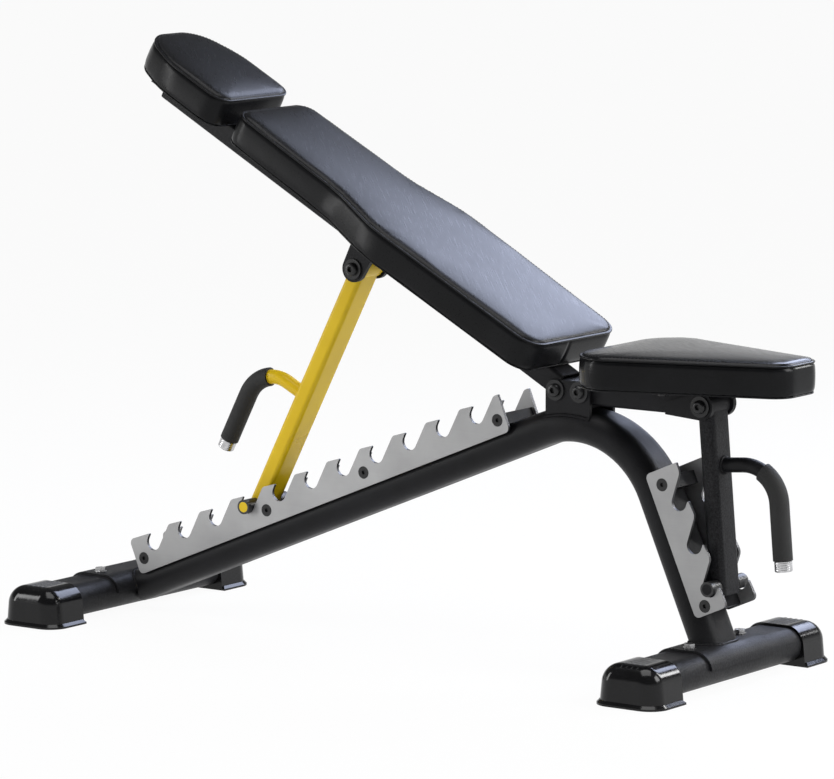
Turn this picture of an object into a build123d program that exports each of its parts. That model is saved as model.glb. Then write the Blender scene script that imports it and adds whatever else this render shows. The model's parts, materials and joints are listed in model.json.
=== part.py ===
from build123d import *
import math
import os

# Adjustable weight bench. Millimetres: X from the head end to the seat end, Y across, Z up from the floor.
# It is laid out from the middle of the head foot and moved at the end to the middle of its own box.

# Flat-oval tubes: one for the main frame, a wider one of the same depth for the two feet
tube_width = 80.0
foot_width = 92.0
tube_depth = 50.0
tube_wall = 3.0

# Feet and their moulded end caps
wheelbase = 1088.0
foot_setback = 9.6
head_foot_length = 506.0
seat_foot_length = 490.0
cap_floor = 6.0
cap_length = 79.0
cap_nose = 22.0
cap_wall = 4.0
cap_draft = 3.0
cap_end_round = 26.0
skirt_reach = 4.5
skirt_lip = 3.0
skirt_flare = 4.0
skirt_slope = 45.0
groove_count = 3
groove_pitch = 9.0
groove_width = 1.6
groove_depth = 0.8
groove_length = 44.0

# Saddle plates that carry the main tube on the feet
saddle_length = 170.0
saddle_thickness = 4.0
saddle_hem = 3.0
foot_bolt_spread = 136.0

# Route of the main tube
slope_angle = 22.3
leg_angle = 66.4
bend_radius = 152.0
head_end_drop = 7.0

# Notched ladder plates, measured from the flat top of the main tube
ladder_gap = 75.6
plate_thickness = 5.0
plate_skirt = 12.5
plate_corner = 8.0
tip_height = 42.5
tip_round = 1.2
pin_height = 26.0
pin_gap = 0.4
notch_pitch = 66.0
notch_clearance = 1.6
hook_overhang = 2.0
tooth_top = 24.3
tooth_rise = 2.5
back_rest_notch = 4
back_first_tip = 101.7
back_tooth_round = 9.0
back_plate_lead = 42.0
back_plate_tail = 50.0
ladder_hinge_clearance = 90.0
back_screw_lead = 26.0
back_screw_tips = (4, 7)
seat_notches = 3
seat_rest_notch = 1
seat_first_tip = 99.0
seat_tooth_round = 14.0
seat_plate_lead = 31.5
seat_plate_tail = 57.5
seat_screw_lead = 19.0
screw_height = 9.5
screw_setback = 35.0
spacer_length = 20.0
spacer_height = 17.0

# Fasteners
bolt_diameter = 10.0
hole_clearance = 0.5
thread_clearance = 0.05
hex_width = 15.0
hex_height = 5.5
washer_diameter = 19.0
washer_thickness = 1.6
bolt_tail = 6.0
screw_head_diameter = 19.0
screw_head_depth = 4.5
screw_length = 24.0
screw_socket = 6.0
screw_socket_depth = 3.0
pad_bolt_diameter = 8.0
pad_bolt_hex = 13.0
pad_bolt_head = 5.5

# Pivots: through bolt, flanged bushes and a welded sleeve
pivot_diameter = 12.0
running_clearance = 0.05
bush_wall = 2.0
bush_length = 18.0
bush_flange = 1.5
bush_flange_diameter = 24.0
hinge_sleeve_diameter = 30.0
strut_sleeve_diameter = 32.0
side_play = 0.4
pivot_flange_diameter = 31.0
pivot_flange = 2.5
dome_diameter = 20.0
dome_height = 6.0
dome_round = 4.5
pivot_socket = 8.0
pivot_socket_depth = 4.0
nut_width = 19.0
nut_height = 9.0

# Hinge bracket on the crest of the main tube
hinge_plate_gap = 56.0
hinge_plate_thickness = 6.0
hinge_spread = 42.0
hinge_rise = 26.9
back_hinge_setback = 24.1
hinge_plate_rear = 17.5
hinge_plate_front = 18.0
hinge_plate_top = 15.0
hinge_plate_drop = 50.0
hinge_plate_corner = 9.0
hinge_base_inset = 6.0
sleeve_clearance = 1.5

# Tubes under the pads
frame_width = 50.0
frame_depth = 36.0
frame_wall = 2.5
frame_corner = 6.0
frame_start = 4.0
back_angle = 29.0
back_frame_drop = 15.0
back_frame_setback = 50.0
plug_head = 4.0
plug_length = 22.0
seat_frame_drop = 20.0
seat_frame_setback = 23.5

# Pads: cushion on a plywood board, bolted to cross brackets
pad_height = 52.0
pad_roll = 2.2
pad_roll_inset = 14.0
pad_crown = 3.0
pad_crown_inset = 40.0
pad_tuck = 2.5
pad_least_corner = 5.0
board_thickness = 12.0
board_inset = 8.0
bracket_thickness = 3.0
bracket_width = 40.0
bracket_span = 150.0
pad_bolt_spread = 110.0
back_brackets = (150.0, 540.0)
head_brackets = (728.0, 812.0)
seat_brackets = (80.0, 158.0)

# Pad outlines: distance along the pad from its hinge, half width and corner radius
back_pad_corners = ((20.0, 117.0, 36.0), (345.0, 125.0, 150.0), (441.0, 97.5, 150.0), (666.0, 91.0, 30.0))
head_pad_corners = ((690.0, 91.0, 30.0), (806.0, 91.0, 110.0), (883.0, 58.0, 58.0))
seat_pad_corners = ((33.0, 102.0, 60.0), (87.0, 139.0, 46.0), (362.0, 50.0, 36.0))

# Struts, their pivots, pins and handles
strut_width = 47.0
strut_depth = 27.0
back_strut_corner = 7.0
seat_strut_corner = 8.0
strut_wall = 2.0
strut_foot = 13.0
pin_diameter = 22.0
pin_core_diameter = 16.0
back_pin_reach = 53.0
seat_pin_reach = 48.0
ear_thickness = 8.0
ear_radius = 20.0
ear_lap = 18.0
back_ear_foot = 44.0
back_pivot_along = 395.6
back_pivot_drop = 44.2
seat_ear_foot = 60.0
seat_pivot_along = 208.1
seat_pivot_drop = 4.4
handle_diameter = 22.0
handle_wall = 2.0
handle_reach = 102.0
handle_bend = 56.0
handle_turn = 90.0
handle_drop = 138.0
back_handle_height = 191.0
seat_handle_height = 175.0
grip_diameter = 29.0
grip_bend_part = 55.0
handle_cap_diameter = 26.0
handle_cap_length = 16.0
handle_cap_spigot = 18.0
handle_cap_edge = 1.0


# Layout: the points that every piece takes its place from
def direction(degrees):
    """Unit vector in the XZ plane, turned up from +X."""
    turn = math.radians(degrees)
    return Vector(math.cos(turn), 0, math.sin(turn))


def rest_pin(plane, first_tip, notch):
    """Middle of a notch of a ladder, counted from its lower end."""
    along = first_tip + (notch - 1) * notch_pitch + hook_overhang
    return plane.from_local_coords((along, tube_depth / 2 + pin_height, 0))


across = Vector(0, 1, 0)
foot_axis = cap_floor + tube_depth / 2
head_foot = Vector(-foot_setback, 0, foot_axis)
seat_foot = Vector(wheelbase - foot_setback, 0, foot_axis)
leg_end = Vector(wheelbase, 0, foot_axis)
slope_start = Vector(0, 0, foot_axis - head_end_drop)
slope_way = direction(slope_angle)
leg_way = direction(180 - leg_angle)
slope_plane = Plane(origin=slope_start, x_dir=slope_way, z_dir=-across)
leg_plane = Plane(origin=leg_end, x_dir=leg_way, z_dir=across)

leg_run = ((slope_start - leg_end).cross(slope_way)).Y / (leg_way.cross(slope_way)).Y
tube_corner = leg_end + leg_way * leg_run
bend_tangent = bend_radius / math.tan(math.radians(180 - slope_angle - leg_angle) / 2)
bend_centre = tube_corner - slope_way * bend_tangent - slope_plane.y_dir * bend_radius
crest = bend_centre + Vector(0, 0, bend_radius + tube_depth / 2)

back_hinge = crest + Vector(-back_hinge_setback, 0, hinge_rise)
seat_hinge = back_hinge + Vector(hinge_spread, 0, 0)
back_side = Plane(origin=back_hinge, x_dir=direction(180 - back_angle), z_dir=across)
seat_side = Plane(origin=seat_hinge, x_dir=(1, 0, 0), z_dir=-across)
back_top = Plane(origin=back_hinge, x_dir=back_side.x_dir, z_dir=back_side.y_dir)
seat_top = Plane(origin=seat_hinge, x_dir=seat_side.x_dir, z_dir=seat_side.y_dir)
back_pad_base = frame_depth - back_frame_drop + bracket_thickness
seat_pad_base = frame_depth - seat_frame_drop + bracket_thickness

back_pivot = back_side.from_local_coords((back_pivot_along, -back_pivot_drop, 0))
seat_pivot = seat_side.from_local_coords((seat_pivot_along, -seat_pivot_drop, 0))
back_pin = rest_pin(slope_plane, back_first_tip, back_rest_notch)
seat_pin = rest_pin(leg_plane, seat_first_tip, seat_rest_notch)
back_strut_length = (back_pivot - back_pin).length
seat_strut_length = (seat_pivot - seat_pin).length
back_strut_way = (back_pivot - back_pin).normalized()
seat_strut_way = (seat_pivot - seat_pin).normalized()
# On these planes X points to the handle's side and Y up the strut
back_strut_plane = Plane(origin=back_pin, x_dir=-across.cross(back_strut_way), z_dir=across)
seat_strut_plane = Plane(origin=seat_pin, x_dir=across.cross(seat_strut_way), z_dir=-across)

# The back ladder has as many notches as the slope has room for below the hinge
ladder_end = slope_plane.to_local_coords(back_hinge).X - ladder_hinge_clearance
back_notches = 1 + math.floor((ladder_end - back_plate_tail - back_first_tip) / notch_pitch)

parts = {}


# Shared shapes
def slab(plane, sketch, low, high):
    """Extrude a sketch that stands square to Y so that it fills low to high in Y."""
    solid = extrude(plane * sketch, amount=high - low)
    return Pos(0, low - solid.bounding_box().min.Y, 0) * solid


def rod(centre, diameter, low, high):
    """Round bar along Y through a point of the XZ plane."""
    plane = Plane(origin=(centre.X, low, centre.Z), x_dir=(1, 0, 0), z_dir=(0, 1, 0))
    return extrude(plane * Circle(diameter / 2), amount=high - low)


def prism(plane, sketch, length):
    """Extrude a sketch along its plane's normal."""
    return extrude(plane * sketch, amount=length)


def hexagon(width):
    """Hexagon of a given width across its flats."""
    return RegularPolygon(radius=width / 2, side_count=6, major_radius=False)


def flat_oval(width, allowance):
    """Section of a flat-oval tube, grown or shrunk on every side by an allowance."""
    return SlotOverall(width + 2 * allowance, tube_depth + 2 * allowance)


def box_tube(plane, width, depth, corner, wall, length):
    """Rectangular tube with rounded corners along a plane's normal, width along its X."""
    outer = RectangleRounded(width, depth, corner)
    inner = RectangleRounded(width - 2 * wall, depth - 2 * wall, corner - wall)
    return prism(plane, outer - inner, length)


def at_y(point, y):
    """A point of the XZ plane, taken to a distance across the bench."""
    return Vector(point.X, y, point.Z)


# Feet
def foot_envelope(foot, allowance, half_length):
    """Solid flat oval along a foot, grown by an allowance."""
    plane = Plane(origin=foot, x_dir=(1, 0, 0), z_dir=-across)
    return slab(plane, flat_oval(foot_width, allowance), -half_length, half_length)


def foot_bolt_points(foot):
    """Seats of a foot's bolts on top of its saddle."""
    top = foot.Z + tube_depth / 2 + saddle_thickness
    return [Vector(foot.X, side * foot_bolt_spread / 2, top) for side in (-1, 1)]


def foot_bolt_holes(foot):
    """Clearance holes for a foot's bolts, through the saddle and the tube's upper wall."""
    depth = saddle_thickness + 2 * tube_wall
    hole = Circle((bolt_diameter + hole_clearance) / 2)
    return [prism(Plane(origin=point, z_dir=(0, 0, -1)), hole, depth) for point in foot_bolt_points(foot)]


def foot_tube(foot, length):
    """Cross tube between the closed ends of its two caps."""
    half = length / 2 - cap_nose
    tube = foot_envelope(foot, 0, half) - foot_envelope(foot, -tube_wall, half)
    return tube - foot_bolt_holes(foot)


def foot_saddle(foot):
    """Plate bent over the upper half of a foot tube."""
    half = saddle_length / 2
    shell = foot_envelope(foot, saddle_thickness, half) - foot_envelope(foot, 0, half)
    below = Pos(foot.X, 0, foot.Z + saddle_hem) * Box(
        2 * foot_width, 2 * saddle_length, foot_width, align=(Align.CENTER, Align.CENTER, Align.MAX)
    )
    return shell - below - foot_bolt_holes(foot)


def foot_bolt(point):
    """Hex bolt with a washer face, seated on a saddle."""
    down = Plane(origin=point, z_dir=(0, 0, -1))
    up = Plane(origin=point, z_dir=(0, 0, 1))
    shank = prism(down, Circle(bolt_diameter / 2), saddle_thickness + tube_wall + hex_height + bolt_tail)
    washer = prism(up, Circle(washer_diameter / 2), washer_thickness)
    head = prism(up.offset(washer_thickness), hexagon(hex_width), hex_height)
    return shank + washer + head


def foot_nut(point):
    """Hex nut under the upper wall of a foot tube."""
    down = Plane(origin=point, z_dir=(0, 0, -1)).offset(saddle_thickness + tube_wall)
    bore = Circle(bolt_diameter / 2 + thread_clearance)
    return prism(down, hexagon(hex_width) - bore, hex_height)


def cap_body(foot, inner, outer):
    """Arched hood of an end cap, round at its closed end."""
    floor_half = foot_width / 2 + cap_wall + cap_draft
    height = foot.Z + tube_depth / 2 + cap_wall
    top_half = floor_half - 2 * cap_draft
    corners = ((-floor_half, 0), (floor_half, 0), (top_half, height), (-top_half, height))
    profile = make_face(Polyline(*corners, close=True))
    profile = fillet(profile.vertices().group_by(Axis.Y)[-1], radius=tube_depth / 2 + cap_wall)
    plane = Plane(origin=(foot.X, 0, 0), x_dir=(1, 0, 0), z_dir=-across)
    hood = slab(plane, profile, inner, outer)
    end_edges = hood.faces().sort_by(Axis.Y)[-1].edges().sort_by(Axis.Z)[1:]
    return fillet(end_edges, radius=cap_end_round)


def cap_skirt(foot, inner, outer):
    """Flared rim of an end cap on the floor."""
    width = foot_width + 2 * (cap_wall + cap_draft + skirt_reach)
    length = outer - inner
    plane = Plane(origin=(foot.X, inner + length / 2, 0))
    rim = Rectangle(width, length)
    rim = fillet(rim.vertices().group_by(Axis.Y)[-1], radius=cap_end_round + skirt_reach)
    lip = prism(plane, rim, skirt_lip)
    flare = extrude(plane.offset(skirt_lip) * rim, amount=skirt_flare, taper=skirt_slope)
    return lip + flare


def cap_grooves(foot, inner):
    """Moulded grooves that run in from the open end along the top of a cap."""
    top = foot.Z + tube_depth / 2 + cap_wall
    middle = inner + groove_length / 2
    bar = Box(groove_width, groove_length, 2 * groove_depth)
    shifts = [(index - (groove_count - 1) / 2) * groove_pitch for index in range(groove_count)]
    return [Pos(foot.X + shift, middle, top) * bar for shift in shifts]


def foot_cap(foot, length, side):
    """End cap over one end of a foot, built on the +Y side and mirrored for the other."""
    outer = length / 2
    inner = outer - cap_length
    cap = cap_body(foot, inner, outer - skirt_reach) + cap_skirt(foot, inner, outer)
    cap = cap - foot_envelope(foot, 0, outer - cap_nose) - cap_grooves(foot, inner)
    return cap if side > 0 else mirror(cap, about=Plane.XZ)


for foot_name, foot, length in (("head", head_foot, head_foot_length), ("seat", seat_foot, seat_foot_length)):
    parts[f"{foot_name}_foot_tube"] = foot_tube(foot, length)
    parts[f"{foot_name}_foot_saddle"] = foot_saddle(foot)
    parts[f"{foot_name}_foot_cap_near"] = foot_cap(foot, length, -1)
    parts[f"{foot_name}_foot_cap_far"] = foot_cap(foot, length, 1)
bolt_seats = foot_bolt_points(head_foot) + foot_bolt_points(seat_foot)
parts["foot_bolts"] = Compound([foot_bolt(point) for point in bolt_seats])
parts["foot_nuts"] = Compound([foot_nut(point) for point in bolt_seats])


# Main tube
def main_sweep(allowance):
    """Flat oval swept from the head foot, over the bend and down to the seat foot."""
    route = FilletPolyline(slope_start, tube_corner, leg_end, radius=bend_radius)
    section = Plane(origin=slope_start, x_dir=across, z_dir=slope_way) * flat_oval(tube_width, allowance)
    return sweep(section, path=route)


def main_tube():
    """Bent main tube, coped to the saddles of both feet."""
    tube = main_sweep(0) - main_sweep(-tube_wall)
    tube = tube - foot_envelope(head_foot, saddle_thickness, tube_width)
    tube = tube - foot_envelope(seat_foot, saddle_thickness, tube_width)
    under_head_foot = Pos(head_foot.X + foot_width / 2, 0, foot_axis) * Box(
        2 * tube_width, 2 * tube_width, 2 * tube_width, align=(Align.MAX, Align.CENTER, Align.MAX)
    )
    return tube - under_head_foot


main_envelope = main_sweep(0)
parts["main_tube"] = main_tube()


# Ladders
def touch_point(point, centre, radius, side):
    """Where a line from a point touches a circle, on the left (+1) or right (-1) seen from the circle."""
    away = point - centre
    turn = math.atan2(away.Y, away.X) + side * math.acos(radius / away.length)
    return centre + Vector(math.cos(turn), math.sin(turn)) * radius


def tooth_corner(tip):
    """Top of the flank that rises from a tip's notch."""
    return Vector(tip.X + notch_pitch - tooth_top, tip.Y + tooth_rise)


def notch_edges(tip):
    """Flank, round bottom and hook of one notch, from its upper tooth back to its own tip."""
    centre = Vector(tip.X + hook_overhang, tube_depth / 2 + pin_height + notch_clearance - pin_gap)
    radius = pin_diameter / 2 + notch_clearance
    flank_top = tooth_corner(tip)
    right = touch_point(flank_top, centre, radius, -1)
    left = touch_point(tip, centre, radius, 1)
    low = centre + ((left - centre) + (right - centre)).normalized() * radius
    return [Line(flank_top, right), ThreePointArc(right, low, left), Line(left, tip)]


def ladder_sketch(first_tip, notches, lead, tail, tooth_round):
    """Outline of a notched plate, X along the tube and Y away from it."""
    low = tube_depth / 2 - plate_skirt
    tips = [Vector(first_tip + index * notch_pitch, tube_depth / 2 + tip_height) for index in range(notches)]
    flanks = [tooth_corner(tip) for tip in tips]
    high = flanks[0].Y
    start = first_tip - lead
    end = tips[-1].X + tail
    edges = [Polyline((start, high), (start, low), (end, low), (end, high))]
    edges.append(Line((end, high), flanks[-1]))
    for index in reversed(range(notches)):
        edges += notch_edges(tips[index])
        edges.append(Line(tips[index], flanks[index - 1] if index else (start, high)))
    sketch = make_face(edges)
    rounds = [(flanks, tooth_round), (tips + [Vector(end, high)], tip_round)]
    rounds.append(([Vector(start, low), Vector(start, high), Vector(end, low)], plate_corner))
    for points, radius in rounds:
        chosen = [v for v in sketch.vertices() if any((Vector(v) - p).length < tip_round / 2 for p in points)]
        sketch = fillet(chosen, radius=radius)
    return sketch


def ladder_screw_points(plane, first_tip, lead, middle_tips, notches):
    """Screw axes of a ladder: one below its notches, one past each middle tip and one past the last."""
    tips = [tip for tip in middle_tips if tip < notches] + [notches]
    along = [first_tip - lead] + [first_tip + (tip - 1) * notch_pitch + screw_setback for tip in tips]
    return [plane.from_local_coords((x, tube_depth / 2 + screw_height, 0)) for x in along]


def screw_plane(point, side):
    """Plane on the outer face of a ladder plate, looking in along a screw."""
    face = side * (ladder_gap / 2 + plate_thickness)
    return Plane(origin=at_y(point, face), x_dir=(1, 0, 0), z_dir=(0, -side, 0))


def screw_head(point, side):
    """Cone of a countersunk head."""
    cone = Cone(
        screw_head_diameter / 2, bolt_diameter / 2, screw_head_depth, align=(Align.CENTER, Align.CENTER, Align.MIN)
    )
    return screw_plane(point, side).location * cone


def ladder_screw(point, side):
    """Countersunk socket screw, flush with the plate."""
    plane = screw_plane(point, side)
    shank = prism(plane, Circle(bolt_diameter / 2), screw_length)
    socket = prism(plane, hexagon(screw_socket), screw_socket_depth)
    return screw_head(point, side) + shank - socket


def ladder_plate(plane, sketch, points, side):
    """One notched plate with its countersunk holes."""
    faces = sorted((side * ladder_gap / 2, side * (ladder_gap / 2 + plate_thickness)))
    plate = slab(plane, sketch, *faces)
    for point in points:
        plate = plate - screw_head(point, side)
        plate = plate - rod(point, bolt_diameter + hole_clearance, *faces)
    return plate


def ladder_spacer(plane, point):
    """Block welded on the tube between the two plates, tapped from both ends."""
    along = plane.to_local_coords(point).X
    block = Pos(along, (tube_depth + spacer_height) / 2) * Rectangle(spacer_length, spacer_height)
    half = ladder_gap / 2
    return slab(plane, block, -half, half) - rod(point, bolt_diameter + 2 * thread_clearance, -half, half)


def ladder(name, plane, sketch, points):
    """Both plates of one ladder."""
    parts[f"{name}_ladder_near"] = ladder_plate(plane, sketch, points, -1)
    parts[f"{name}_ladder_far"] = ladder_plate(plane, sketch, points, 1)


back_screws = ladder_screw_points(slope_plane, back_first_tip, back_screw_lead, back_screw_tips, back_notches)
seat_screws = ladder_screw_points(leg_plane, seat_first_tip, seat_screw_lead, (), seat_notches)
back_teeth = ladder_sketch(back_first_tip, back_notches, back_plate_lead, back_plate_tail, back_tooth_round)
seat_teeth = ladder_sketch(seat_first_tip, seat_notches, seat_plate_lead, seat_plate_tail, seat_tooth_round)
ladder("back", slope_plane, back_teeth, back_screws)
ladder("seat", leg_plane, seat_teeth, seat_screws)
spacers = [ladder_spacer(slope_plane, point) for point in back_screws]
spacers += [ladder_spacer(leg_plane, point) for point in seat_screws]
parts["ladder_spacers"] = Compound(spacers)
screws = [ladder_screw(point, side) for point in back_screws + seat_screws for side in (-1, 1)]
parts["ladder_screws"] = Compound(screws)


# Pivots
def pivot_bolt(centre, grip):
    """Flanged dome-head bolt along Y, its head on the near side of a grip centred on the bench."""
    near = -grip / 2
    shank = rod(centre, pivot_diameter, near, grip / 2 + pivot_flange + nut_height)
    flange = rod(centre, pivot_flange_diameter, near - pivot_flange, near)
    dome = rod(centre, dome_diameter, near - pivot_flange - dome_height, near - pivot_flange)
    dome = fillet(dome.faces().sort_by(Axis.Y)[0].edges(), radius=dome_round)
    face = Plane(origin=at_y(centre, near - pivot_flange - dome_height), x_dir=(1, 0, 0), z_dir=across)
    return shank + flange + dome - prism(face, hexagon(pivot_socket), pivot_socket_depth)


def pivot_nut(centre, grip):
    """Flanged hex nut on the far side of a pivot."""
    far = grip / 2
    face = Plane(origin=at_y(centre, far + pivot_flange), x_dir=(1, 0, 0), z_dir=across)
    nut = rod(centre, pivot_flange_diameter, far, far + pivot_flange) + prism(face, hexagon(nut_width), nut_height)
    return nut - rod(centre, pivot_diameter + 2 * thread_clearance, far, far + pivot_flange + nut_height)


def sleeve_half(gap):
    """Half length of a sleeve that turns in a gap, between its bush flanges."""
    return gap / 2 - side_play - bush_flange


def pivot_sleeve(centre, diameter, gap):
    """Sleeve across the bench, bored for its bushes."""
    half = sleeve_half(gap)
    bore = pivot_diameter + 2 * (running_clearance + bush_wall)
    return rod(centre, diameter, -half, half) - rod(centre, bore, -half, half)


def pivot_bushes(centre, gap):
    """Two flanged bushes pressed into the ends of a sleeve."""
    half = sleeve_half(gap)
    body = pivot_diameter + 2 * (running_clearance + bush_wall)
    bush = rod(centre, body, half - bush_length, half)
    bush = bush + rod(centre, bush_flange_diameter, half, half + bush_flange)
    bush = bush - rod(centre, pivot_diameter + 2 * running_clearance, half - bush_length, half + bush_flange)
    return Compound([bush, mirror(bush, about=Plane.XZ)])


# Hinge bracket
def hinge_plate(side):
    """Side plate of the hinge bracket, fitted over the shoulder of the main tube."""
    left = back_hinge.X - hinge_plate_rear
    right = seat_hinge.X + hinge_plate_front
    low = back_hinge.Z - hinge_plate_drop
    high = back_hinge.Z + hinge_plate_top
    centre = Vector((left + right) / 2, 0, (low + high) / 2)
    plane = Plane(origin=centre, x_dir=(1, 0, 0), z_dir=-across)
    outline = RectangleRounded(right - left, high - low, hinge_plate_corner)
    faces = sorted((side * hinge_plate_gap / 2, side * (hinge_plate_gap / 2 + hinge_plate_thickness)))
    plate = slab(plane, outline, *faces) - main_envelope
    for hinge in (back_hinge, seat_hinge):
        plate = plate - rod(hinge, pivot_diameter + hole_clearance, *faces)
    return plate


def hinge_base():
    """Filler between the hinge plates, shaped to the crest of the main tube."""
    left = back_hinge.X - hinge_plate_rear + hinge_base_inset
    right = seat_hinge.X
    high = back_hinge.Z - hinge_sleeve_diameter / 2 - sleeve_clearance
    block = Pos((left + right) / 2, 0, high) * Box(
        right - left, hinge_plate_gap, tube_depth / 2, align=(Align.CENTER, Align.CENTER, Align.MAX)
    )
    return block - main_envelope


hinge_grip = hinge_plate_gap + 2 * hinge_plate_thickness
parts["hinge_plates"] = Compound([hinge_plate(side) for side in (-1, 1)])
parts["hinge_base"] = hinge_base()
parts["hinge_bolts"] = Compound([pivot_bolt(hinge, hinge_grip) for hinge in (back_hinge, seat_hinge)])
parts["hinge_nuts"] = Compound([pivot_nut(hinge, hinge_grip) for hinge in (back_hinge, seat_hinge)])


# Tubes under the pads
def pad_tube(side_plane, drop, start, end, hinge):
    """Tube along the underside of a pad, coped to its hinge sleeve."""
    origin = side_plane.from_local_coords((start, frame_depth / 2 - drop, 0))
    plane = Plane(origin=origin, x_dir=across, z_dir=side_plane.x_dir)
    tube = box_tube(plane, frame_width, frame_depth, frame_corner, frame_wall, end - start)
    return tube - rod(hinge, hinge_sleeve_diameter, -frame_width, frame_width)


def tube_plug(side_plane, drop, end):
    """Moulded plug in the open end of a pad's tube."""
    origin = side_plane.from_local_coords((end, frame_depth / 2 - drop, 0))
    out = Plane(origin=origin, x_dir=across, z_dir=side_plane.x_dir)
    back = Plane(origin=origin, x_dir=across, z_dir=-side_plane.x_dir)
    inside = RectangleRounded(frame_width - 2 * frame_wall, frame_depth - 2 * frame_wall, frame_corner - frame_wall)
    head = prism(out, RectangleRounded(frame_width, frame_depth, frame_corner), plug_head)
    return head + prism(back, inside, plug_length)


def strut_ear(side_plane, drop, along, pivot_drop, lap_along, foot, side):
    """Lobed plate lapped on one side of a pad's tube, bored for a strut's pivot."""
    lap = Pos(lap_along, ear_lap / 2 - drop) * Rectangle(foot, ear_lap)
    lobe = Pos(along, -pivot_drop) * Circle(ear_radius)
    outline = make_hull(lap.edges() + lobe.edges())
    faces = sorted((side * frame_width / 2, side * (frame_width / 2 + ear_thickness)))
    pivot = side_plane.from_local_coords((along, -pivot_drop, 0))
    return slab(side_plane, outline, *faces) - rod(pivot, pivot_diameter + hole_clearance, *faces)


def strut_ears(side_plane, drop, along, pivot_drop, lap_along, foot):
    """Both ears of a strut's pivot."""
    return Compound([strut_ear(side_plane, drop, along, pivot_drop, lap_along, foot, side) for side in (-1, 1)])


ear_grip = frame_width + 2 * ear_thickness
back_frame_length = head_pad_corners[-1][0] - back_frame_setback
seat_frame_length = seat_pivot_along - seat_frame_setback
parts["back_frame"] = pad_tube(back_side, back_frame_drop, frame_start, back_frame_length, back_hinge)
parts["back_frame_plug"] = tube_plug(back_side, back_frame_drop, back_frame_length)
parts["seat_frame"] = pad_tube(seat_side, seat_frame_drop, frame_start, seat_frame_length, seat_hinge)
parts["back_strut_ears"] = strut_ears(
    back_side, back_frame_drop, back_pivot_along, back_pivot_drop, back_pivot_along, back_ear_foot
)
parts["seat_strut_ears"] = strut_ears(
    seat_side, seat_frame_drop, seat_pivot_along, seat_pivot_drop, seat_pivot_along - seat_ear_foot / 2, seat_ear_foot
)


# Cross brackets and their bolts
def bracket_bolt_points(top_plane, base, along):
    """Bolt axes of one bracket, on the board's underside."""
    return [top_plane.from_local_coords((along, side * pad_bolt_spread / 2, base)) for side in (-1, 1)]


def pad_bracket(top_plane, base, along):
    """Flat bar across a pad's tube, drilled for two bolts."""
    plane = top_plane.offset(base - bracket_thickness)
    hole = Circle((pad_bolt_diameter + hole_clearance) / 2)
    bar = Pos(along, 0) * Rectangle(bracket_width, bracket_span)
    for side in (-1, 1):
        bar = bar - Pos(along, side * pad_bolt_spread / 2) * hole
    return prism(plane, bar, bracket_thickness)


def pad_bolt(top_plane, point):
    """Hex bolt up through a bracket into the board."""
    face = Plane(origin=point - top_plane.z_dir * bracket_thickness, x_dir=across, z_dir=top_plane.z_dir)
    shank = prism(face, Circle(pad_bolt_diameter / 2), bracket_thickness + board_thickness)
    head = prism(face.offset(-pad_bolt_head), hexagon(pad_bolt_hex), pad_bolt_head)
    return shank + head


def bracket_set(name, top_plane, base, places):
    """All brackets and bolts of one pad frame."""
    points = [bracket_bolt_points(top_plane, base, along) for along in places]
    parts[f"{name}_pad_brackets"] = Compound([pad_bracket(top_plane, base, along) for along in places])
    parts[f"{name}_pad_bolts"] = Compound([pad_bolt(top_plane, point) for pair in points for point in pair])


bracket_set("back", back_top, back_pad_base, back_brackets + head_brackets)
bracket_set("seat", seat_top, seat_pad_base, seat_brackets)


# Pads
def pad_outline(corners, inset):
    """Closed outline through mirrored corners, drawn in on every side by an inset."""
    count = len(corners)
    half = []
    for index, (along, width, radius) in enumerate(corners):
        shift = inset if index == 0 else -inset if index == count - 1 else 0
        hollow = 0 < index < count - 1 and is_hollow(corners, index)
        rounding = radius + inset if hollow else max(radius - inset, pad_least_corner)
        half.append((along + shift, width - inset, rounding))
    loop = half + [(along, -width, radius) for along, width, radius in reversed(half)]
    points = [(along, width) for along, width, _ in loop]
    radii = [radius for _, _, radius in loop]
    return make_face(FilletPolyline(*points, radius=radii, close=True))


def is_hollow(corners, index):
    """True where the outline bends inwards at a corner."""
    (x0, y0, _), (x1, y1, _), (x2, y2, _) = corners[index - 1 : index + 2]
    return (x1 - x0) * (y2 - y1) - (y1 - y0) * (x2 - x1) > 0


def cushion(top_plane, base, corners):
    """Upholstered pad: sides tucked in between base and seam, and a crowned top."""
    seam = base + pad_height
    sides = [(base, 0), (base + pad_height / 2, pad_tuck), (seam, 0)]
    crown = [(seam, 0), (seam + pad_roll, pad_roll_inset), (seam + pad_crown, pad_crown_inset)]
    body = loft([top_plane.offset(height) * pad_outline(corners, inset) for height, inset in sides])
    dome = loft([top_plane.offset(height) * pad_outline(corners, inset) for height, inset in crown])
    return body + dome


def pad(name, top_plane, base, corners, brackets):
    """Board with its bolt holes, and the cushion wrapped round it."""
    board = prism(top_plane.offset(base), pad_outline(corners, board_inset), board_thickness)
    parts[f"{name}_pad"] = cushion(top_plane, base, corners) - board
    for point in sum([bracket_bolt_points(top_plane, base, along) for along in brackets], []):
        plane = Plane(origin=point, x_dir=across, z_dir=top_plane.z_dir)
        board = board - prism(plane, Circle(pad_bolt_diameter / 2 + thread_clearance), board_thickness)
    parts[f"{name}_pad_board"] = board


pad("back", back_top, back_pad_base, back_pad_corners, back_brackets)
pad("head", back_top, back_pad_base, head_pad_corners, head_brackets)
pad("seat", seat_top, seat_pad_base, seat_pad_corners, seat_brackets)


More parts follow.
